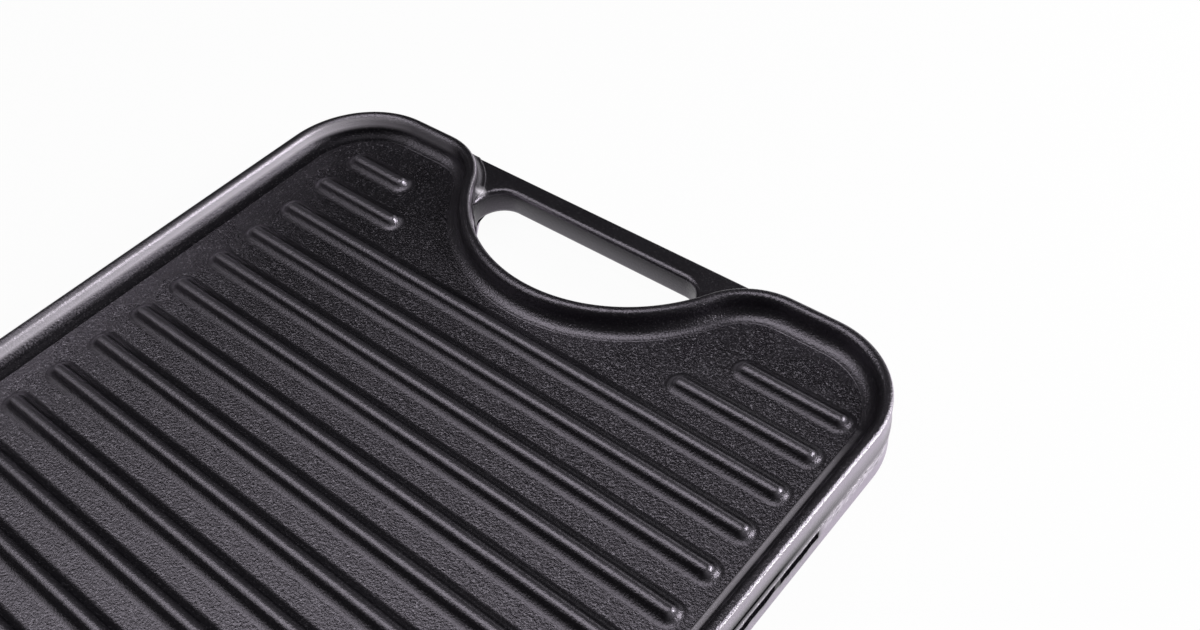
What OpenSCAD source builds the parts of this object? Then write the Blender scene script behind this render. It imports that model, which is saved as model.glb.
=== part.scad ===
// Reversible cast iron camp griddle plate: ribbed grill face up, smooth griddle face down.
// Millimetres, +Z up, +Y towards the rear grip. The origin lies under the centre of the plate,
// on the plane that the lower rim stands on.

/* [Plate] */
// Length over both grips
plate_length = 458.5; // [420:0.5:520]
// Width over the side rims, at the parting line
plate_width = 264.4; // [230:0.2:300]
// Height over both rims
plate_height = 22; // [20:0.5:26]
// Thickness of the cooking floor
floor_thickness = 5.4; // [4:0.1:7]
// Draft of the outer wall, away from the parting line (degrees)
outer_draft = 1.5; // [1:0.5:4]
// Draft of the inner wall of the rim (degrees)
inner_draft = 5; // [2:0.5:8]

/* [Outline] */
// Radius of the four corners
corner_radius = 35.5; // [32:0.5:40]
// Radius of the shoulders where the rim turns in towards the hand hole
shoulder_radius = 28.8; // [24:0.2:32]
// Radius of the rim's bend behind the hand hole
notch_radius = 61.5; // [56:0.5:66]
// Distance from the end of the plate to the bottom of that bend
notch_depth = 46.1; // [43:0.1:50]

/* [Rim] */
// Flat land along the top of the rim
crest_land = 1.1; // [0.8:0.1:2.4]
// Rounding on the outer edge of the crest
crest_outer_radius = 1.6; // [1.2:0.1:2.4]
// Rounding on the inner edge of the crest
crest_inner_radius = 1.6; // [1.2:0.1:2.4]
// Cove where the rim runs into the floor
cove_radius = 5; // [3:0.1:5.5]

/* [Ribs] */
// Spacing of the rib lines
rib_pitch = 17.4; // [15:0.1:20]
// Height of a rib above the floor
rib_height = 3; // [2.4:0.1:3.6]
// Rounding along the top of a rib
rib_crest_radius = 2.6; // [2.2:0.1:3]
// Fillet at the foot of a rib
rib_root_radius = 3.9; // [3.4:0.1:4.4]
// Thickness left at the edge of a rib's foot
rib_foot_edge = 0.1; // [0.05:0.05:0.2]
// Least distance from the end rim's cove to the first rib line
rib_end_margin = 14; // [10:0.5:18]
// How far the ribs are turned clockwise out of square with the plate (degrees)
rib_skew = 1.2; // [0:0.1:1.5]
// Least floor left free between the ribs and the left rim
left_gap = 3; // [0.5:0.1:8]
// Least floor left free between the ribs and the right rim
right_gap = 0.5; // [0.5:0.1:8]
// Floor left free between a cut-off rib and the bend behind the hand hole
notch_gap = 17; // [10:0.2:20]

/* [Grips] */
// Width of the grip bar
grip_width = 8.2; // [7:0.2:12]
// Height of the grip bar
grip_height = 11; // [8:0.2:14]
// How far the bar's outer face stands back from the ends of the ears
grip_setback = 0.3; // [0.3:0.1:1.5]
// Rounding along the bar's outer edges
grip_outer_radius = 1.2; // [1:0.1:2.4]
// Rounding along the bar's edges at the hand hole
grip_inner_radius = 2; // [1:0.1:2.8]
// Radius of the hand hole's corners at the bar
hole_corner_radius = 10; // [8:0.5:11]
// How far those corners bite into the bend, so that the web ends in an edge
hole_corner_bite = 0.4; // [0.2:0.1:0.8]

/* [Hidden] */
$fn = 64;
iron = "#2c2b2e";
worn_iron = "#3a393d";
overcut = 1;

half_length = plate_length / 2;
half_width = plate_width / 2;
parting_z = plate_height / 2;
half_floor = floor_thickness / 2;
floor_z = parting_z + half_floor;

// Rim section: inset from the outline and height over the parting plane, to a thousandth
function thousandth(size) = round(size * 1000) / 1000;
outer_round_z = parting_z - crest_outer_radius;
inner_round_z = parting_z - crest_inner_radius;
cove_z = half_floor + cove_radius;
outer_wall_x = thousandth(outer_round_z * tan(outer_draft));
outer_round_x = outer_wall_x + crest_outer_radius;
inner_round_x = outer_round_x + crest_land;
wall_top_x = inner_round_x + crest_inner_radius;
wall_foot_x = wall_top_x + thousandth((inner_round_z - cove_z) * tan(inner_draft));
rim_width = wall_foot_x + cove_radius;

// Plan of one end: the notch arc and the shoulder arcs are tangent to each other
corner_x = half_width - corner_radius;
corner_y = half_length - corner_radius;
shoulder_y = half_length - shoulder_radius;
notch_y = half_length - notch_depth + notch_radius;
notch_rise = notch_y - shoulder_y;
shoulder_x = sqrt((notch_radius + shoulder_radius) ^ 2 - notch_rise ^ 2);
notch_angle = atan2(shoulder_x, notch_rise);

// Rib section: a crest arc and a root arc, tangent where the flank is steepest
rib_arcs = rib_crest_radius + rib_root_radius;
rib_slope = acos(1 - (rib_height - rib_foot_edge) / rib_arcs);
rib_half_width = rib_arcs * sin(rib_slope);

// Rib lines, counted from the rear end
rib_room = plate_length - 2 * (rim_width + rib_end_margin);
rib_lines = 1 + floor(rib_room / rib_pitch);
function rib_y(line) = ((rib_lines - 1) / 2 - line) * rib_pitch;
rib_reach = half_width - rim_width - rib_half_width - rib_y(0) * sin(rib_skew);
rib_left_x = thousandth(left_gap - rib_reach);
rib_right_x = thousandth(rib_reach - right_gap);

// Ends of the cut-off ribs, on a circle round the bend of the rim; the ribs see that bend turned by the skew
bend_x = notch_y * sin(rib_skew);
bend_y = notch_y * cos(rib_skew);
function is_cut(line) = abs(rib_y(line)) + rib_half_width + overcut > bend_y - notch_radius - rim_width;
function cut_reach(line) = rib_half_width
    + sqrt((notch_radius + rim_width + notch_gap) ^ 2 - (abs(rib_y(line)) - bend_y) ^ 2);
function cut_x(line, side) = thousandth(side * cut_reach(line) - sign(rib_y(line)) * bend_x);
full_lines = [for (line = [0 : rib_lines - 1]) if (!is_cut(line)) line];
cut_lines = [for (line = [0 : rib_lines - 1]) if (is_cut(line)) line];
function numbered(name, line) = str(name, line < 9 ? "0" : "", line + 1);

// Hand hole: its corner rounds touch the bar and the bend of the rim
bar_outer_y = half_length - grip_setback;
bar_inner_y = bar_outer_y - grip_width;
hole_corner_y = bar_inner_y - hole_corner_radius;
hole_corner_reach = notch_radius - hole_corner_radius + hole_corner_bite;
hole_corner_x = sqrt(hole_corner_reach ^ 2 - (notch_y - hole_corner_y) ^ 2);
hole_heel_y = hole_corner_y - hole_corner_radius * (notch_y - hole_corner_y) / hole_corner_reach;
grip_half = grip_height / 2;
grip_outer_run = (grip_half - grip_outer_radius) * tan(outer_draft);
grip_inner_run = (grip_half - grip_inner_radius) * tan(outer_draft);

faces = ["grill", "griddle"];
ends = ["rear", "front"];
sides = ["left", "right"];

// Points of a section in counterclockwise order, on the +X side or turned over to the -X side
function faced(points, side) = side > 0
    ? points
    : [for (i = [len(points) - 1 : -1 : 0]) [-points[i][0], points[i][1]]];

// Rounded upper corner of a section: the quarter of a circle between two insets
module round_corner(from_x, to_x, centre_x, centre_z, side) {
    radius = to_x - from_x;
    intersection() {
        translate([side * centre_x, centre_z]) circle(radius);
        polygon(faced([
            [from_x, centre_z], [to_x, centre_z], [to_x, centre_z + radius], [from_x, centre_z + radius]
        ], side));
    }
}

// Upper half of the rim's section: inset from the outline along x (or -x), height along y
module rim_section(side) {
    difference() {
        union() {
            polygon(faced([
                [0, 0],
                [rim_width, 0],
                [rim_width, half_floor],
                [wall_foot_x, cove_z],
                [wall_top_x, inner_round_z],
                [inner_round_x, parting_z],
                [outer_round_x, parting_z],
                [outer_wall_x, outer_round_z]
            ], side));
            round_corner(outer_wall_x, outer_round_x, outer_round_x, outer_round_z, side);
            round_corner(inner_round_x, wall_top_x, inner_round_x, inner_round_z, side);
        }
        translate([side * rim_width, cove_z]) circle(cove_radius);
    }
}

// Straight length of rim along -Y, with the plate on its +X side
module rim_run(run) {
    rotate([90, 0, 0]) linear_extrude(run) rim_section(1);
}

// Rim bent round the plate's side of the outline
module rim_bend(radius, start, sweep) {
    rotate([0, 0, start]) rotate_extrude(angle = sweep) translate([radius, 0]) rim_section(-1);
}

// Rim bent the other way, round the hand hole
module rim_hollow(radius, start, sweep) {
    rotate([0, 0, start]) rotate_extrude(angle = sweep) translate([radius, 0]) rim_section(1);
}

// One side of the rim's upper half
module rim_side() {
    translate([-half_width, corner_y, 0]) rim_run(2 * corner_y);
}

// The ear at the rear left of the rim's upper half: corner, end and shoulder
module rim_ear() {
    mirror([1, 0, 0]) {
        translate([corner_x, corner_y, 0]) rim_bend(corner_radius, 0, 90);
        translate([corner_x, half_length, 0]) rotate([0, 0, -90]) rim_run(corner_x - shoulder_x);
        translate([shoulder_x, shoulder_y, 0]) rim_bend(shoulder_radius, 90, notch_angle);
    }
}

// The bend of the rim's upper half behind the rear hand hole
module rim_notch() {
    translate([0, notch_y, 0]) rim_hollow(notch_radius, 270 - notch_angle, 2 * notch_angle);
}

// Puts a rear left piece of the rim's upper half at its own face, end and side of the plate
module placed(face, end, side) {
    color(worn_iron) translate([0, 0, parting_z])
        mirror([side == "right" ? 1 : 0, 0, 0])
        mirror([0, end == "front" ? 1 : 0, 0])
        mirror([0, 0, face == "griddle" ? 1 : 0])
        children();
}

// Everything between the end line and the outline of the rim, moved in by inset
module notch_plan(inset) {
    touch_x = (notch_radius + inset) * sin(notch_angle);
    touch_y = notch_y - (notch_radius + inset) * cos(notch_angle);
    difference() {
        union() {
            translate([0, notch_y]) circle(notch_radius + inset);
            polygon([
                [-touch_x, touch_y],
                [touch_x, touch_y],
                [shoulder_x, half_length - inset],
                [shoulder_x, notch_y + notch_radius],
                [-shoulder_x, notch_y + notch_radius],
                [-shoulder_x, half_length - inset]
            ]);
        }
        for (side = [-1, 1]) translate([side * shoulder_x, shoulder_y]) circle(shoulder_radius - inset);
    }
}

// The floor inside the rim
module floor_plan() {
    floor_length = plate_length - 2 * rim_width;
    floor_width = plate_width - 2 * rim_width;
    difference() {
        union() {
            square([floor_width, 2 * corner_y], center = true);
            square([2 * corner_x, floor_length], center = true);
            for (x = [-1, 1], y = [-1, 1])
                translate([x * corner_x, y * corner_y]) circle(corner_radius - rim_width);
        }
        for (turn = [0, 180]) rotate(turn) notch_plan(rim_width);
    }
}

module floor_plate() {
    color(iron) translate([0, 0, parting_z - half_floor]) linear_extrude(floor_thickness) floor_plan();
}

// Section of a rib on the floor: across it along x, height along y
module rib_section() {
    flank_x = rib_crest_radius * sin(rib_slope);
    flank_z = rib_height - rib_crest_radius * (1 - cos(rib_slope));
    difference() {
        polygon([
            [-rib_half_width, 0],
            [rib_half_width, 0],
            [rib_half_width, rib_foot_edge],
            [flank_x, flank_z],
            [-flank_x, flank_z],
            [-rib_half_width, rib_foot_edge]
        ]);
        for (side = [-1, 1])
            translate([side * rib_half_width, rib_foot_edge + rib_root_radius]) circle(rib_root_radius);
    }
    intersection() {
        translate([0, rib_height - rib_crest_radius]) circle(rib_crest_radius);
        translate([-rib_half_width, flank_z]) square([2 * rib_half_width, rib_height]);
    }
}

// A rib whose crest runs from x1 to x2, with both ends turned round
module rib_bar(line, x1, x2) {
    color(iron) rotate([0, 0, -rib_skew]) translate([0, rib_y(line), floor_z]) {
        translate([x1, 0, 0]) rotate([90, 0, 90]) linear_extrude(x2 - x1) rib_section();
        for (end = [[x1, 90], [x2, 270]]) translate([end[0], 0, 0]) rotate([0, 0, end[1]])
            rotate_extrude(angle = 180) intersection() {
                rib_section();
                square([rib_half_width, rib_height]);
            }
    }
}

module full_rib(line) {
    rib_bar(line, rib_left_x, rib_right_x);
}

module corner_rib(side, line) {
    if (side == "left") rib_bar(line, rib_left_x, cut_x(line, -1));
    else rib_bar(line, cut_x(line, 1), rib_right_x);
}

// Section of the bar's outer side, up to a plane through the hand hole
module grip_outer_section() {
    round_y = bar_outer_y - grip_outer_run - grip_outer_radius;
    difference() {
        translate([bar_outer_y - notch_depth, -grip_half]) square([notch_depth, grip_height]);
        for (flip = [0, 1]) mirror([0, flip]) difference() {
            polygon([
                [bar_outer_y, 0],
                [bar_outer_y + overcut, 0],
                [bar_outer_y + overcut, grip_half + overcut],
                [round_y, grip_half + overcut],
                [round_y, grip_half],
                [bar_outer_y - grip_outer_run, grip_half - grip_outer_radius]
            ]);
            translate([round_y, grip_half - grip_outer_radius]) circle(grip_outer_radius);
        }
    }
}

// Section of the hand hole's edge: distance past the corner's centre along x, height along y
module hole_edge_section() {
    round_x = hole_corner_radius + grip_inner_run + grip_inner_radius;
    for (flip = [0, 1]) mirror([0, flip]) difference() {
        polygon([
            [0, 0],
            [hole_corner_radius, 0],
            [hole_corner_radius + grip_inner_run, grip_half - grip_inner_radius],
            [round_x, grip_half - grip_inner_radius],
            [round_x, grip_half + overcut],
            [0, grip_half + overcut]
        ]);
        translate([round_x, grip_half - grip_inner_radius]) circle(grip_inner_radius);
    }
}

// The hand hole, with its edges rounded over
module hand_hole() {
    for (side = [-1, 1]) translate([side * hole_corner_x, hole_corner_y, 0]) rotate_extrude() hole_edge_section();
    translate([-hole_corner_x, hole_corner_y, 0]) rotate([90, 0, 90])
        linear_extrude(2 * hole_corner_x) hole_edge_section();
    translate([0, 0, -grip_height]) linear_extrude(2 * grip_height) {
        translate([-hole_corner_x, hole_heel_y])
            square([2 * hole_corner_x, hole_corner_y - hole_heel_y + overcut]);
        translate([-notch_radius, hole_heel_y - notch_depth]) square([2 * notch_radius, notch_depth]);
    }
}

// Grip bar across the end, seated against the outer wall of the shoulders
module grip(turn) {
    color(iron) rotate([0, 0, turn]) translate([0, 0, parting_z]) difference() {
        intersection() {
            translate([-shoulder_x, 0, 0]) rotate([90, 0, 90]) linear_extrude(2 * shoulder_x) grip_outer_section();
            translate([0, 0, -grip_height]) linear_extrude(2 * grip_height) notch_plan(0);
        }
        hand_hole();
    }
}

floor_plate();
grip(0);  // rear_grip
grip(180);  // front_grip
for (face = faces, side = sides)
    placed(face, "rear", side) rim_side();
for (face = faces, end = ends, side = sides)
    placed(face, end, side) rim_ear();
for (face = faces, end = ends)
    placed(face, end, "left") rim_notch();
for (line = full_lines)
    full_rib(line);
for (side = sides, line = cut_lines)
    corner_rib(side, line);
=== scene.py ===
import math

import bpy
import numpy as np
from mathutils import Euler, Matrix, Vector, noise


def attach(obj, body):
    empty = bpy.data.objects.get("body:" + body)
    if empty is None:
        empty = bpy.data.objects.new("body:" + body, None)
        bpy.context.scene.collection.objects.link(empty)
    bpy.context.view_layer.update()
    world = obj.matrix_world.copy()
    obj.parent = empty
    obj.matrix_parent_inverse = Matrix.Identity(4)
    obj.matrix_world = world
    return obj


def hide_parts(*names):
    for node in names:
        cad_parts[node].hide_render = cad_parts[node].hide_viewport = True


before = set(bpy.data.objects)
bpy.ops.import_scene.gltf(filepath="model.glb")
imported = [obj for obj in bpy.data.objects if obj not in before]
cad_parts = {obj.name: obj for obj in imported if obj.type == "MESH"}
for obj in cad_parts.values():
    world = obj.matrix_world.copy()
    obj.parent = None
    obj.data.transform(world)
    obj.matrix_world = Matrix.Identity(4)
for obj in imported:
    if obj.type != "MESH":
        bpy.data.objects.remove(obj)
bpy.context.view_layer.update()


# Rim: the raised wall that runs round corners, ears and hand holes, cast in iron in one with the
# plate, in a two-part sand mould. The mould's seam shows half way up its outer wall, which is
# ground by hand on the right. Lengths of the casting are in millimetres.
half_length = 229.25
half_width = 132.2
plate_height = 22.0
parting_z = plate_height / 2
floor_half_thickness = 2.7
floor_top = parting_z + floor_half_thickness
corner_radius = 35.5
shoulder_radius = 28.8
notch_radius = 61.5
notch_depth = 46.1
arc_step = 1.6
line_step = 3.0
right_line_step = 1.2

corner_x = half_width - corner_radius
corner_y = half_length - corner_radius
shoulder_y = half_length - shoulder_radius
notch_y = half_length - notch_depth + notch_radius
shoulder_x = math.sqrt((notch_radius + shoulder_radius) ** 2 - (notch_y - shoulder_y) ** 2)
notch_angle = math.degrees(math.atan2(shoulder_x, notch_y - shoulder_y))


def outline_arc(x, y, radius, start, end, facing=1):
    """Points on an arc of the outline, each with the direction that faces away from the plate."""
    count = max(3, round(abs(math.radians(end - start)) * radius / arc_step))
    angles = np.radians(np.linspace(start, end, count, endpoint=False))
    away = np.stack([np.cos(angles), np.sin(angles)], 1)
    return np.hstack([np.array([x, y]) + radius * away, facing * away])


def outline_line(x1, y1, x2, y2, step=line_step):
    """Points on a straight length of the outline, which runs counterclockwise."""
    run = np.array([x2 - x1, y2 - y1])
    length = float(np.hypot(*run))
    along = np.linspace(0, 1, max(2, round(length / step)), endpoint=False)
    away = np.array([run[1], -run[0]]) / length
    points = np.array([x1, y1]) + along[:, None] * run
    return np.hstack([points, np.repeat(away[None], len(points), 0)])


rear_end = np.vstack([
    outline_arc(corner_x, corner_y, corner_radius, 0, 90),
    outline_line(corner_x, half_length, shoulder_x, half_length),
    outline_arc(shoulder_x, shoulder_y, shoulder_radius, 90, 90 + notch_angle),
    outline_arc(0, notch_y, notch_radius, 270 + notch_angle, 270 - notch_angle, -1),
    outline_arc(-shoulder_x, shoulder_y, shoulder_radius, 90 - notch_angle, 90),
    outline_line(-shoulder_x, half_length, -corner_x, half_length),
    outline_arc(-corner_x, corner_y, corner_radius, 90, 180),
])
outline = np.vstack([
    rear_end,
    outline_line(-half_width, corner_y, -half_width, -corner_y),
    -rear_end,
    outline_line(half_width, -corner_y, half_width, corner_y, right_line_step),
])
around = len(outline)

# The rim's section goes from the cove's foot over the crest and down the outer wall. The seam is
# a fine ridge at half height between two others, and the lower half mirrors the upper one.
crest_radius = 1.6
inner_crest_radius = 2.3
crest_land = 0.4
cove_radius = 5.0
inner_wall_lean = 0.2
wall_back = 0.25
wall_rows = (18.0, 16.5, 15.0, 13.8, 12.6)
seam_half = 0.7
seam_inset = 0.02
seam_rows = (1.0, 0.72, 0.5, 0.3, 0.14)
# These rows below the seam carry the painted shadow.
seam_shadow_rows = (10.0, 9.6, 9.2, 8.8, 8.2, 7.6, 7.0, 6.6, 6.2, 5.8)

outer_round = wall_back + crest_radius
inner_round = outer_round + crest_land
rim_width = inner_round + inner_crest_radius + inner_wall_lean + cove_radius


def section_arc(inset, z, radius, start, end, count):
    """An arc of the section, as points of inset from the outline and height."""
    turns = np.radians(np.linspace(start, end, count))
    return [(inset + radius * math.cos(turn), z + radius * math.sin(turn)) for turn in turns]


section = section_arc(rim_width, floor_top + cove_radius, cove_radius, 270, 184, 16)
section += section_arc(
    inner_round, plate_height - inner_crest_radius, inner_crest_radius, 5, 90, 10)
section += section_arc(outer_round, plate_height - crest_radius, crest_radius, 90, 180, 16)
section += [(wall_back, z) for z in wall_rows]
for side in seam_rows:
    ridge = math.cos(math.pi / 2 * (1 - side)) ** 6
    section.append((wall_back * (1 - ridge) + seam_inset, parting_z + seam_half * side))
mirrored = [(inset, plate_height - z) for inset, z in reversed(section)]
section.append((seam_inset, parting_z))
section += mirrored[:len(seam_rows)]
section += [(wall_back, z) for z in seam_shadow_rows]
section += mirrored[len(seam_rows) + len(wall_rows) - 1:]

# Wear and painted light along the rim. On the right the outer wall is ground bare, with painted
# shade below its crest, and a painted highlight runs along the foot of the cove. On the left the
# inner wall has a painted highlight near its top and painted shade below it.
ear_x = 60.0
along_y = outline[:, 1]
away_x = outline[:, 2]
facing = np.degrees(np.arctan2(outline[:, 3], away_x))
faces_right = away_x > 0.3
right_straight = away_x > 0.99
left_turn = np.where(outline[:, 0] < -ear_x, 180 - np.abs(facing), 180)
ground_run = np.interp(away_x, (0.1, 0.6), (0.25, 1.0))
shade_run = np.interp(along_y, (140, 163, 186), (1.0, 0.85, 0.6))
# A painted highlight along the foot of the right cove, then on the left a painted highlight near
# the top of the inner wall and painted shade below it.
foot_run = np.interp(np.abs(along_y), (150, 180, 193), (0.8, 0.55, 0.1)) * right_straight
left_highlight = np.interp(left_turn, (0, 70, 80, 90, 110), (1, 1, 0.75, 0.45, 0))
left_shade = np.interp(left_turn, (0, 65, 85, 95), (0.95, 0.95, 0.7, 0))

# Below the seam a dark line of painted shadow runs along the right-hand wall, from the rear
# towards the front. Behind it, round the rear corner, the wall is rough, shown by painted glints
# and dark specks of painted shade.
seam_shadow_start = 164.0
seam_shadow_start_fade = 3.0
seam_shadow_end = 30.0
seam_shadow_end_fade = 20.0
under_seam_shade = 0.08
seam_shadow_extra_shade = 0.12
rough_low = 6.5
rough_high = 10.6
rough_contrast = 1.6
speck_length = 1.1
speck_height = 0.6
bright_speck = 0.1


def uneven(y, wavelength, line):
    """How far a chance line along the casting strays at y, from about -1 to 1."""
    return noise.noise(Vector((y / wavelength, line, 0)))


seam_shadow = np.zeros(around)
ripple = np.zeros(around)
for i in np.flatnonzero(faces_right & (along_y > seam_shadow_end) & (along_y < seam_shadow_start)):
    y = along_y[i]
    fade = min(1, (seam_shadow_start - y) / seam_shadow_start_fade, (y - seam_shadow_end) / seam_shadow_end_fade)
    wave = uneven(y, 9, 0) + 0.6 * uneven(y, 2.5, 3)
    seam_shadow[i] = fade * min(1, max(0.8, 1.0 + 0.5 * wave))
    ripple[i] = 0.7 * uneven(y, 5, 7) + 0.5 * uneven(y, 1.7, 9)
rough_run = np.flatnonzero((outline[:, 0] > ear_x) & faces_right & (along_y >= seam_shadow_start))

rim_rows = []
rim_bare = []
rim_painted_shade = []
rim_painted_highlight = []
bare_depth = 0.4
seasoned_depth = 0.9
for inset, z in section:
    ring = outline[:, :2] - inset * outline[:, 2:]
    rim_rows.append(np.column_stack([ring, np.full(around, z)]))
    rim_bare.append(ground_run * np.interp(inset, (bare_depth, seasoned_depth), (1, 0)))
    painted_shade = np.zeros(around)
    painted_highlight = np.zeros(around)
    outer_wall = inset < bare_depth
    grill_side = z > parting_z
    if outer_wall and grill_side:
        # Painted shade down the middle of the right outer wall, above the seam.
        painted_shade = shade_run * np.interp(z, (11.2, 12.0, 14.0, 16.0, 19.0), (0, 1.0, 1.0, 0.7, 0.15))
    elif outer_wall:
        # Painted shadow under the seam, and a band of painted shade just below the seam.
        painted_shade = seam_shadow * np.interp(z + ripple, (5.6, 6.3, 9.4, 10.0), (0, 1, 1, 0))
        painted_shade += (under_seam_shade + seam_shadow_extra_shade * seam_shadow) * np.interp(z, (9.6, 10.2), (1, 0))
        if rough_low < z < rough_high:
            # Bright specks are painted glints; the dark ones are painted shade.
            for i in rough_run:
                speck = uneven(along_y[i], speck_length, z / speck_height)
                painted_shade[i] += rough_contrast * abs(speck)
                painted_highlight[i] = speck < bright_speck
    elif grill_side:
        # Painted shade at the foot of the left inner wall.
        painted_shade = left_shade * np.interp(z, (floor_top, 14.4, 16.4, 18.0), (1, 0.95, 0.75, 0))
    # Painted highlights: along the foot of the right cove and near the top of the left inner
    # wall.
    if grill_side and inset > outer_round:
        from_foot = rim_width - inset
        painted_highlight = foot_run * np.interp(from_foot, (0.1, 0.6, 1.2, 1.9, 2.4), (0, 1.0, 0.8, 0.6, 0))
        near_top = np.interp(z, (16.8, 17.6, 18.7, 19.8, 21.0, 21.8), (0, 0.4, 1, 0.7, 0.5, 0))
        painted_highlight += left_highlight * near_top
    rim_painted_shade.append(painted_shade)
    rim_painted_highlight.append(painted_highlight)

rim_faces = []
for row in range(len(section) - 1):
    here = row * around
    below = here + around
    for i in range(around):
        j = (i + 1) % around
        rim_faces.append((below + i, below + j, here + j, here + i))
last = (len(section) - 1) * around
for i in range(around):
    j = (i + 1) % around
    rim_faces.append((i, j, last + j, last + i))


def object_noise(tree, place, scale, detail):
    """A fine uneven pattern that stays fixed to the casting."""
    node = tree.nodes.new("ShaderNodeTexNoise")
    node.inputs["Scale"].default_value = scale
    node.inputs["Detail"].default_value = detail
    tree.links.new(place.outputs["Object"], node.inputs["Vector"])
    return node


def ramp(tree, value, start, end, low, high):
    """Turns a value between start and end into one between low and high."""
    node = tree.nodes.new("ShaderNodeMapRange")
    node.inputs["From Min"].default_value = start
    node.inputs["From Max"].default_value = end
    node.inputs["To Min"].default_value = low
    node.inputs["To Max"].default_value = high
    tree.links.new(value, node.inputs["Value"])
    return node


def wear_and_light_layer(tree, name):
    """The wear or painted light of that name, as it is kept at the points of a piece."""
    node = tree.nodes.new("ShaderNodeAttribute")
    node.name = name
    node.attribute_name = name
    return node


def seasoned_iron(name, grain_height, roughness, flecks):
    """Black iron under a thin baked oil skin, with the grain that the moulding sand leaves.
    The height of the grain is in metres."""
    material = bpy.data.materials.new(name)
    material.use_nodes = True
    tree = material.node_tree
    nodes = tree.nodes
    links = tree.links
    shader = nodes["Principled BSDF"]
    shader.inputs["IOR"].default_value = 2.1
    shader.inputs["Specular Tint"].default_value = (0.94, 0.86, 1.0, 1)
    place = nodes.new("ShaderNodeTexCoord")
    place.name = "place"

    grain = object_noise(tree, place, scale=1350, detail=2)
    grain.name = "grain"
    grain.inputs["Roughness"].default_value = 0.6
    bump = nodes.new("ShaderNodeBump")
    bump.inputs["Strength"].default_value = 1.0
    bump.inputs["Distance"].default_value = grain_height
    links.new(grain.outputs["Fac"], bump.inputs["Height"])
    links.new(bump.outputs["Normal"], shader.inputs["Normal"])

    # Bright flecks of the sand grain, painted glints that lighten the colour.
    sand = object_noise(tree, place, scale=1500, detail=1)
    fleck = ramp(tree, sand.outputs["Fac"], start=0.61, end=0.72, low=0.0, high=flecks)
    fleck.name = "fleck"
    # A layer of painted highlights, kept at the points, that lightens the colour.
    painted_highlight = wear_and_light_layer(tree, "painted_highlight")
    light = nodes.new("ShaderNodeMath")
    light.operation = "ADD"
    light.use_clamp = True
    links.new(fleck.outputs["Result"], light.inputs[0])
    links.new(painted_highlight.outputs["Fac"], light.inputs[1])
    # The pale colour is where painted glints and painted highlights lighten the black.
    tone = nodes.new("ShaderNodeMix")
    tone.name = "tone"
    tone.data_type = "RGBA"
    tone.inputs["A"].default_value = (0.0040, 0.0037, 0.0048, 1)
    tone.inputs["B"].default_value = (0.30, 0.28, 0.32, 1)
    links.new(light.outputs["Value"], tone.inputs["Factor"])
    links.new(tone.outputs["Result"], shader.inputs["Base Color"])

    # A layer of painted shade, which takes gloss away where the iron should look darker.
    painted_shade = wear_and_light_layer(tree, "painted_shade")
    gloss = ramp(tree, painted_shade.outputs["Fac"], start=0.0, end=1.0, low=0.5, high=0.0)
    gloss.name = "gloss"
    links.new(gloss.outputs["Result"], shader.inputs["Specular IOR Level"])
    cloud = object_noise(tree, place, scale=60, detail=4)
    smooth = roughness - 0.06
    rough = roughness + 0.06
    sheen = ramp(tree, cloud.outputs["Fac"], start=0.0, end=1.0, low=smooth, high=rough)
    links.new(sheen.outputs["Result"], shader.inputs["Roughness"])
    return material


def cast_piece(name, points, faces, flat_faces, wear_and_light, iron):
    """A piece of the casting, with the last of its faces flat and its wear and painted light kept
    at its points.
    """
    mesh = bpy.data.meshes.new(name)
    mesh.from_pydata([(x / 1000, y / 1000, z / 1000) for x, y, z in points], [], faces)
    smooth_faces = len(faces) - flat_faces
    mesh.polygons.foreach_set("use_smooth", [True] * smooth_faces + [False] * flat_faces)
    for kind, values in wear_and_light.items():
        mesh.attributes.new(kind, "FLOAT", "POINT").data.foreach_set("value", values)
    mesh.update()
    mesh.materials.append(iron)
    piece = bpy.data.objects.new(name, mesh)
    bpy.context.scene.collection.objects.link(piece)
    return piece


edge_raggedness = 1.6
rim_iron = seasoned_iron("rim_iron", grain_height=0.00018, roughness=0.30, flecks=0.05)
tree = rim_iron.node_tree
nodes = tree.nodes
links = tree.links
# The rim's painted highlights take this pale colour.
nodes["tone"].inputs["B"].default_value = (0.75, 0.70, 0.77, 1)
bare = wear_and_light_layer(tree, "bare")
ragged = nodes.new("ShaderNodeMath")
ragged.operation = "MULTIPLY_ADD"
ragged.inputs[1].default_value = edge_raggedness
ragged.inputs[2].default_value = -edge_raggedness / 2
links.new(nodes["grain"].outputs["Fac"], ragged.inputs[0])
worn = nodes.new("ShaderNodeMath")
worn.operation = "ADD"
links.new(bare.outputs["Fac"], worn.inputs[0])
links.new(ragged.outputs["Value"], worn.inputs[1])
ground = ramp(tree, worn.outputs["Value"], start=0.35, end=0.65, low=0.0, high=1.0)
kept = nodes.new("ShaderNodeMath")
kept.operation = "SUBTRACT"
kept.use_clamp = True
links.new(ground.outputs["Result"], kept.inputs[0])
links.new(nodes["painted_shade"].outputs["Fac"], kept.inputs[1])
bright = nodes.new("ShaderNodeMix")
bright.data_type = "RGBA"
bright.inputs["B"].default_value = (0.46, 0.43, 0.47, 1)
links.new(kept.outputs["Value"], bright.inputs["Factor"])
links.new(nodes["tone"].outputs["Result"], bright.inputs["A"])
links.new(bright.outputs["Result"], nodes["Principled BSDF"].inputs["Base Color"])
links.new(kept.outputs["Value"], nodes["Principled BSDF"].inputs["Metallic"])

rim_wear_and_light = {
    "bare": np.concatenate(rim_bare),
    "painted_shade": np.concatenate(rim_painted_shade),
    "painted_highlight": np.concatenate(rim_painted_highlight),
}
rim_points = np.concatenate(rim_rows).tolist()
rim = cast_piece("rim", rim_points, rim_faces, around, rim_wear_and_light, rim_iron)
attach(rim, "root")
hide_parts(*[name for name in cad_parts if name.startswith(("grill_", "griddle_"))])


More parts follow.
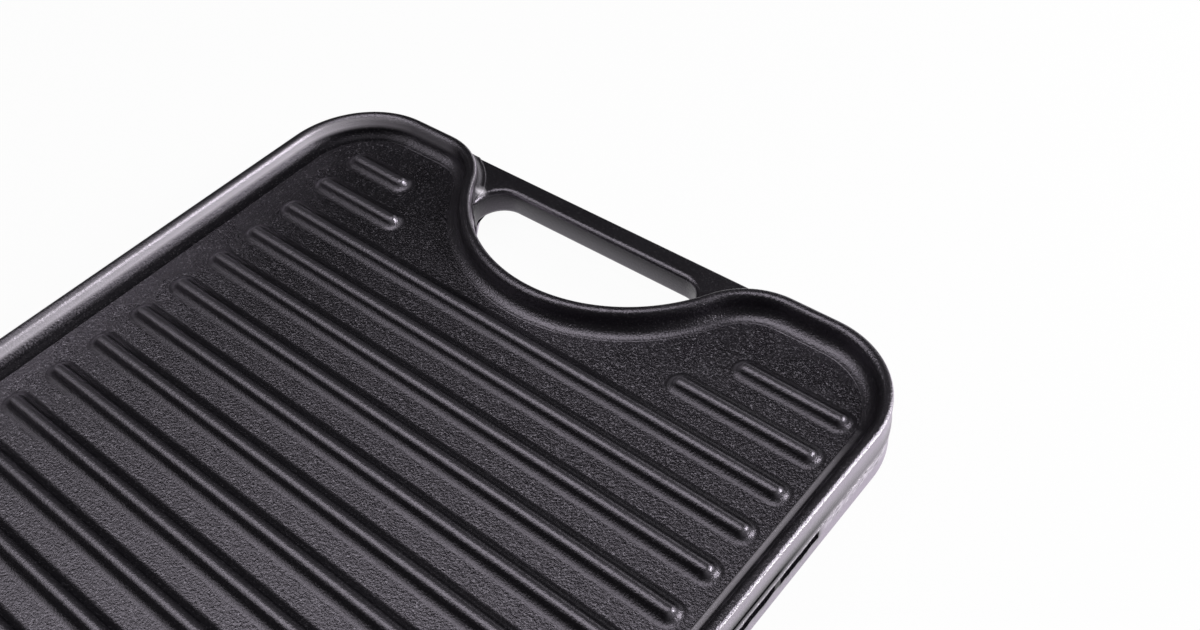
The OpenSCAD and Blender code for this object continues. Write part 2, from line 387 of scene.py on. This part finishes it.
# Floor: the flat cooking floor inside the rim, cast as one sheet with it. Its upper face keeps
# the grain of the sand and has painted shade in the rear left ear, with less gloss and fewer
# flecks round a spot given in metres. Its lower face is the griddle side.
floor_bottom = plate_height - floor_top
floor_edge = (outline[:, :2] - rim_width * outline[:, 2:]).tolist()
floor_points = [(x, y, floor_top) for x, y in floor_edge]
floor_points += [(x, y, floor_bottom) for x, y in floor_edge]
floor_faces = [tuple(range(around)), tuple(range(2 * around - 1, around - 1, -1))]
for i in range(around):
    j = (i + 1) % around
    floor_faces.append((around + i, around + j, j, i))

# Painted shade on the floor round this spot in the rear left ear.
shade_spot = (-0.105, 0.200, 0.0137)
shade_core = 0.03
shade_reach = 0.10
shade_strength = 0.55
shaded_flecks = 0.34
floor_flecks = 0.60
fleck_reach = 0.13
floor_iron = seasoned_iron(
    "floor_iron", grain_height=0.00028, roughness=0.28, flecks=floor_flecks)
tree = floor_iron.node_tree
nodes = tree.nodes
links = tree.links
spot = nodes.new("ShaderNodeVectorMath")
spot.operation = "DISTANCE"
spot.inputs[1].default_value = shade_spot
links.new(nodes["place"].outputs["Object"], spot.inputs[0])
floor_shade = ramp(tree, spot.outputs["Value"], shade_core, shade_reach, shade_strength, 0.0)
links.new(floor_shade.outputs["Result"], nodes["gloss"].inputs["Value"])
sparse = ramp(tree, spot.outputs["Value"], shade_core, fleck_reach, shaded_flecks, floor_flecks)
links.new(sparse.outputs["Result"], nodes["fleck"].inputs["To Max"])

cooking_floor = cast_piece(
    "cooking_floor", floor_points, floor_faces, len(floor_faces), {}, floor_iron)
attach(cooking_floor, "root")
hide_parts("floor_plate")


# Ribs: rounded bars cast on the floor, 17.4 mm apart and turned a little out of square, each with
# round ends. Two lines at each end of the plate are cut short where the hand hole comes in.
rib_pitch = 17.4
rib_lines = 24
cut_lines = 2
rib_height = 3.0
rib_crest_radius = 2.6
rib_root_radius = 3.9
rib_skew = math.radians(1.2)
rib_left = -109.9
rib_right = 112.3
rib_step = 6.0
rib_end_steps = 15
crest_cap_angle = 0.06
cut_radius = 88.2

rib_slope = math.acos(1 - rib_height / (rib_crest_radius + rib_root_radius))
rib_half_width = (rib_crest_radius + rib_root_radius) * math.sin(rib_slope)
rib_profile = []
for angle in np.linspace(crest_cap_angle, rib_slope, 9):
    drop = rib_crest_radius * (1 - math.cos(angle))
    rib_profile.append((rib_crest_radius * math.sin(angle), rib_height - drop))
for angle in np.linspace(rib_slope, 0, 12)[1:]:
    rise = rib_root_radius * (1 - math.cos(angle))
    rib_profile.append((rib_half_width - rib_root_radius * math.sin(angle), rise))

# Ribs have painted highlights along the crest and round their ends, where they also shine as
# metal.
# Painted shade lies on their flanks, most on the side away from the front.
crest_highlight = 0.11
crest_highlight_radius = 1.5
end_highlight = 1.1
end_highlight_radius = 1.8
end_highlight_spread = 1.1
end_foot_highlight = 0.35
end_foot_radius = 3.6
end_foot_spread = 1.2
# How much painted shade the flanks take, towards the front and towards the rear.
flank_radius = (1.2, 2.4, 4.4, 5.4)
front_flank_shade = (0, 0.42, 0.35, 0)
rear_flank_shade = (0, 1.0, 0.5, 0)
rib_iron = seasoned_iron("rib_iron", grain_height=0.00015, roughness=0.30, flecks=0.08)
nodes = rib_iron.node_tree.nodes
links = rib_iron.node_tree.links
# The painted highlights shine as metal, most round the rib ends.
painted_highlight_metal = nodes.new("ShaderNodeMath")
painted_highlight_metal.operation = "POWER"
painted_highlight_metal.inputs[1].default_value = 2
links.new(nodes["painted_highlight"].outputs["Fac"], painted_highlight_metal.inputs[0])
links.new(painted_highlight_metal.outputs["Value"], nodes["Principled BSDF"].inputs["Metallic"])


def cast_rib(name, line, x1, x2):
    """A rib as nested rings round its crest line, from the crest down to the foot."""
    y = ((rib_lines - 1) / 2 - line) * rib_pitch
    straight = np.linspace(x1, x2, max(3, round((x2 - x1) / rib_step)))
    ring = [(x, 0.0, 1.0) for x in straight]
    for angle in np.radians(np.linspace(90, -90, rib_end_steps)[1:-1]):
        ring.append((x2, math.cos(angle), math.sin(angle)))
    ring += [(x, 0.0, -1.0) for x in straight[::-1]]
    for angle in np.radians(np.linspace(270, 90, rib_end_steps)[1:-1]):
        ring.append((x1, math.cos(angle), math.sin(angle)))

    points = []
    painted_highlight = []
    painted_shade = []
    for radius, z in rib_profile:
        # Painted highlight on the crest and round the ends, painted shade on the flanks.
        crest = max(0, 1 - radius / crest_highlight_radius)
        end = max(0, 1 - abs(radius - end_highlight_radius) / end_highlight_spread)
        end_foot = max(0, 1 - abs(radius - end_foot_radius) / end_foot_spread)
        end_painted_highlight = end_highlight * end + end_foot_highlight * end_foot
        front_shade = float(np.interp(radius, flank_radius, front_flank_shade))
        rear_shade = float(np.interp(radius, flank_radius, rear_flank_shade))
        for x, out_x, out_y in ring:
            painted_highlight.append(crest_highlight * crest + out_x ** 2 * end_painted_highlight)
            painted_shade.append((1 - abs(out_x)) * (front_shade if out_y < 0 else rear_shade))
            px = x + radius * out_x
            py = y + radius * out_y
            points.append((
                px * math.cos(rib_skew) + py * math.sin(rib_skew),
                py * math.cos(rib_skew) - px * math.sin(rib_skew),
                floor_top + z,
            ))

    count = len(ring)
    faces = [tuple(range(count - 1, -1, -1))]
    for row in range(len(rib_profile) - 1):
        here = row * count
        below = here + count
        for i in range(count):
            j = (i + 1) % count
            faces.append((here + j, below + j, below + i, here + i))
    rib = cast_piece(name, points, faces, 0, {"painted_highlight": painted_highlight, "painted_shade": painted_shade}, rib_iron)
    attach(rib, "root")
    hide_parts(name)


for line in range(cut_lines, rib_lines - cut_lines):
    cast_rib(f"rib_{line + 1:02d}", line, rib_left, rib_right)
for line in (*range(cut_lines), *range(rib_lines - cut_lines, rib_lines)):
    rib_y = ((rib_lines - 1) / 2 - line) * rib_pitch
    bend_x = -math.copysign(notch_y * math.sin(rib_skew), rib_y)
    bend_y = notch_y * math.cos(rib_skew)
    reach = math.sqrt(cut_radius ** 2 - (abs(rib_y) - bend_y) ** 2) + rib_half_width
    cast_rib(f"corner_rib_left_{line + 1:02d}", line, rib_left, bend_x - reach)
    cast_rib(f"corner_rib_right_{line + 1:02d}", line, bend_x + reach, rib_right)


# Grips: a bar across each hand hole, cast between the shoulders of the rim and half as high.
# Webs with rounded edges carry it, and a fillet runs from each web up the shoulder's wall.
bar_outer_y = 229.2
bar_inner_y = 220.65
bar_half_height = 5.5
bar_outer_radius = 1.0
bar_inner_radius = 2.0
hole_corner_radius = 10.0
web_fillet = 3.0
web_overlap = 0.4
fillet_overlap = 0.3
fillet_growth = 0.25
bar_end_turn = 32
web_end_turn = -20
web_bend_turn = 8.5
hole_corner_y = bar_inner_y - hole_corner_radius
heel_radius = notch_radius - hole_corner_radius + web_overlap
hole_corner_x = math.sqrt(heel_radius ** 2 - (notch_y - hole_corner_y) ** 2)
heel_turn = -math.degrees(math.atan2(notch_y - hole_corner_y, hole_corner_x))
tip_angle = math.radians(90) + math.acos((bar_outer_y - shoulder_y) / shoulder_radius)
tip_x = shoulder_x + shoulder_radius * math.cos(tip_angle)
shoulder_run = (math.radians(90 + notch_angle) - tip_angle) * shoulder_radius
bend_run = math.radians(web_bend_turn) * notch_radius


def hole_corner(turn):
    """A point on the hand hole's round corner, and the direction into the iron there."""
    away = (math.cos(math.radians(turn)), math.sin(math.radians(turn)))
    x = hole_corner_x + hole_corner_radius * away[0]
    return (x, hole_corner_y + hole_corner_radius * away[1]), away


def bend_wall(at):
    """A point on the bend's outer wall, and the direction into the iron there."""
    away = (math.cos(at), math.sin(at))
    return (notch_radius * away[0], notch_y + notch_radius * away[1]), away


# Each station of the grip has its edge at the hand hole, its other edge at the outside or at the
# wall that carries it, both with a direction into the iron, and the share of the fillet there.
stations = []
for x in np.linspace(0, hole_corner_x, 10):
    stations.append(((x, bar_inner_y), (0, 1), (x, bar_outer_y), (0, 1), 0.0))
for turn in np.linspace(90, bar_end_turn, 15)[1:]:
    edge, away = hole_corner(turn)
    outer_x = hole_corner_x + (tip_x - hole_corner_x) * (90 - turn) / (90 - bar_end_turn)
    stations.append((edge, away, (outer_x, bar_outer_y), (0, 1), 0.0))
for turn in np.linspace(bar_end_turn, web_end_turn, 22)[1:]:
    edge, away = hole_corner(turn)
    run = (bar_end_turn - turn) / (bar_end_turn - web_end_turn) * (shoulder_run + bend_run)
    if run < shoulder_run:
        at = tip_angle + run / shoulder_radius
        wall_away = (-math.cos(at), -math.sin(at))
        wall_x = shoulder_x - shoulder_radius * wall_away[0]
        wall = (wall_x, shoulder_y - shoulder_radius * wall_away[1])
    else:
        wall, wall_away = bend_wall(
            math.radians(270 + notch_angle) - (run - shoulder_run) / notch_radius)
    filleted = min(1.0, run / (fillet_growth * shoulder_run))
    stations.append((edge, away, wall, wall_away, filleted))
for turn in np.linspace(web_end_turn, heel_turn, 7)[1:]:
    edge, away = hole_corner(turn)
    wall, wall_away = bend_wall(math.atan2(edge[1] - notch_y, edge[0]))
    stations.append((edge, away, wall, wall_away, 1.0))
left_stations = []
for *places, filleted in stations[:0:-1]:
    left_stations.append([(-x, y) for x, y in places] + [filleted])

quarter_turn = np.radians(np.linspace(0, 90, 9))
flat_room = 0.5
grip_rows = []
for *places, filleted in left_stations + stations:
    edge, away, wall, wall_away = (np.array(place, float) for place in places)
    width = float(np.hypot(*(wall - edge)))
    squeeze = min(1.0, width / (bar_inner_radius + web_fillet + flat_room))
    half = []
    for angle in quarter_turn:
        inset = bar_inner_radius * squeeze * (1 - math.cos(angle))
        drop = bar_inner_radius * (1 - math.sin(angle))
        half.append((edge + away * inset, bar_half_height - drop))
    if filleted > 0:
        lift = web_fillet * filleted
        reach = lift * squeeze
        overlap = fillet_overlap
    else:
        lift = -bar_outer_radius
        reach = bar_outer_radius
        overlap = 0.0
    flat_start = edge + away * bar_inner_radius * squeeze
    flat_end = wall - wall_away * reach
    for share in np.linspace(0, 1, 6)[1:-1]:
        half.append((flat_start + (flat_end - flat_start) * share, bar_half_height))
    for angle in quarter_turn:
        out = overlap * math.sin(angle) - reach * (1 - math.sin(angle))
        half.append((wall + wall_away * out, bar_half_height + lift * (1 - math.cos(angle))))
    upper = [(p[0], min(p[1], bar_outer_y), parting_z + z) for p, z in half]
    grip_rows.append(upper + [(x, y, plate_height - z) for x, y, z in reversed(upper)])

# The grip's face in the hand hole has painted shade, and a painted highlight sits at the left
# shoulder.
hole_top_shade = [0.8, 0.6, 0.3]
hole_bottom_shade = [0.35]
bright_spot = (-50.8, 214.0, 17.2)
bright_spot_fade = 1.6
bright_spot_strength = 1.5
grip_iron = seasoned_iron("grip_iron", grain_height=0.00013, roughness=0.30, flecks=0.04)
# The grips' painted highlights take this pale colour.
grip_iron.node_tree.nodes["tone"].inputs["B"].default_value = (0.80, 0.76, 0.82, 1)
for name, end in (("rear_grip", 1), ("front_grip", -1)):
    points = [(end * x, end * y, z) for row in grip_rows for x, y, z in row]
    count = len(grip_rows[0])
    faces = []
    for row in range(len(grip_rows) - 1):
        here = row * count
        beyond = here + count
        for i in range(count):
            j = (i + 1) % count
            faces.append((here + i, here + j, beyond + j, beyond + i))
    faces.append(tuple(range(count - 1, -1, -1)))
    faces.append(tuple(range(len(points) - count, len(points))))
    unshaded = [0.0] * (count - len(hole_top_shade) - len(hole_bottom_shade))
    painted_shade = (hole_top_shade + unshaded + hole_bottom_shade) * len(grip_rows)
    painted_highlight = []
    for point in points:
        distance = math.dist(point, bright_spot)
        painted_highlight.append(max(0, bright_spot_strength - distance / bright_spot_fade))
    grip = cast_piece(name, points, faces, 2, {"painted_shade": painted_shade, "painted_highlight": painted_highlight}, grip_iron)
    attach(grip, "root")
    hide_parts(name)


# Table: a plain sheet of white board that the plate lies on. It looks white to the camera and in
# the iron, and keeps a faint shadow.
table_half = 3
table_white_share = 0.95
table_mesh = bpy.data.meshes.new("table")
table_corners = [(-table_half, -table_half, 0), (table_half, -table_half, 0)]
table_corners += [(table_half, table_half, 0), (-table_half, table_half, 0)]
table_mesh.from_pydata(table_corners, [], [(0, 1, 2, 3)])
table_paint = bpy.data.materials.new("table_paint")
table_paint.use_nodes = True
nodes = table_paint.node_tree.nodes
links = table_paint.node_tree.links
nodes["Principled BSDF"].inputs["Base Color"].default_value = (0.9, 0.9, 0.9, 1)
nodes["Principled BSDF"].inputs["Roughness"].default_value = 0.9
glow = nodes.new("ShaderNodeEmission")
glow.inputs["Strength"].default_value = 1.0
path = nodes.new("ShaderNodeLightPath")
seen = nodes.new("ShaderNodeMath")
seen.operation = "MAXIMUM"
links.new(path.outputs["Is Camera Ray"], seen.inputs[0])
links.new(path.outputs["Is Glossy Ray"], seen.inputs[1])
share = nodes.new("ShaderNodeMath")
share.operation = "MULTIPLY"
share.inputs[1].default_value = table_white_share
links.new(seen.outputs["Value"], share.inputs[0])
mix = nodes.new("ShaderNodeMixShader")
links.new(share.outputs["Value"], mix.inputs["Fac"])
links.new(nodes["Principled BSDF"].outputs["BSDF"], mix.inputs[1])
links.new(glow.outputs["Emission"], mix.inputs[2])
links.new(mix.outputs["Shader"], nodes["Material Output"].inputs["Surface"])
table_mesh.materials.append(table_paint)
table = bpy.data.objects.new("table", table_mesh)
bpy.context.scene.collection.objects.link(table)


# Studio: a dim grey room with a wall that looks white to the camera. Four rectangular softboxes
# of fabric over lamps are set a metre from the plate and face it.
world = bpy.data.worlds.new("studio")
world.use_nodes = True
bpy.context.scene.world = world
nodes = world.node_tree.nodes
links = world.node_tree.links
nodes["Background"].inputs["Color"].default_value = (0.03, 0.03, 0.03, 1)
white = nodes.new("ShaderNodeBackground")
white.inputs["Color"].default_value = (1, 1, 1, 1)
path = nodes.new("ShaderNodeLightPath")
mix = nodes.new("ShaderNodeMixShader")
links.new(path.outputs["Is Camera Ray"], mix.inputs["Fac"])
links.new(nodes["Background"].outputs["Background"], mix.inputs[1])
links.new(white.outputs["Background"], mix.inputs[2])
links.new(mix.outputs["Shader"], nodes["World Output"].inputs["Surface"])

lit_spot = Vector((0.02, 0.14, 0.015))
lamp_distance = 1
for name, bearing, height, wide, tall, brightness in (
    ("right_softbox", 39, 20, 0.70, 0.70, 8.0),
    ("overhead_softbox", 195, 76, 0.55, 1.00, 2.2),
    ("left_softbox", 216, 42, 0.56, 0.46, 1.1),
    ("back_softbox", 100, 11, 0.46, 0.36, 1.0),
):
    lamp = bpy.data.lights.new(name, "AREA")
    lamp.shape = "RECTANGLE"
    lamp.size = wide
    lamp.size_y = tall
    lamp.energy = math.pi * wide * tall * brightness
    box = bpy.data.objects.new(name, lamp)
    turn = Euler((math.radians(90 - height), 0, math.radians(bearing + 90)))
    box.location = lit_spot + turn.to_matrix() @ Vector((0, 0, lamp_distance))
    box.rotation_euler = turn
    bpy.context.scene.collection.objects.link(box)


# Camera: a lens of about 40 mm on a full-frame body, on a stand above the front right of the
# plate. It looks across the ribs at the rear grip.
camera_turn = (44.664764, 3.699609, 38.810904)
lens = bpy.data.cameras.new("camera")
lens.lens = 39.6724
lens.sensor_width = 36
lens.sensor_fit = "HORIZONTAL"
lens.clip_start = 0.01
camera = bpy.data.objects.new("camera", lens)
camera.location = (0.2417797, -0.0447990, 0.3362850)
camera.rotation_euler = Euler([math.radians(angle) for angle in camera_turn])
bpy.context.scene.collection.objects.link(camera)
bpy.context.scene.camera = camera
bpy.context.scene.view_settings.view_transform = "Standard"
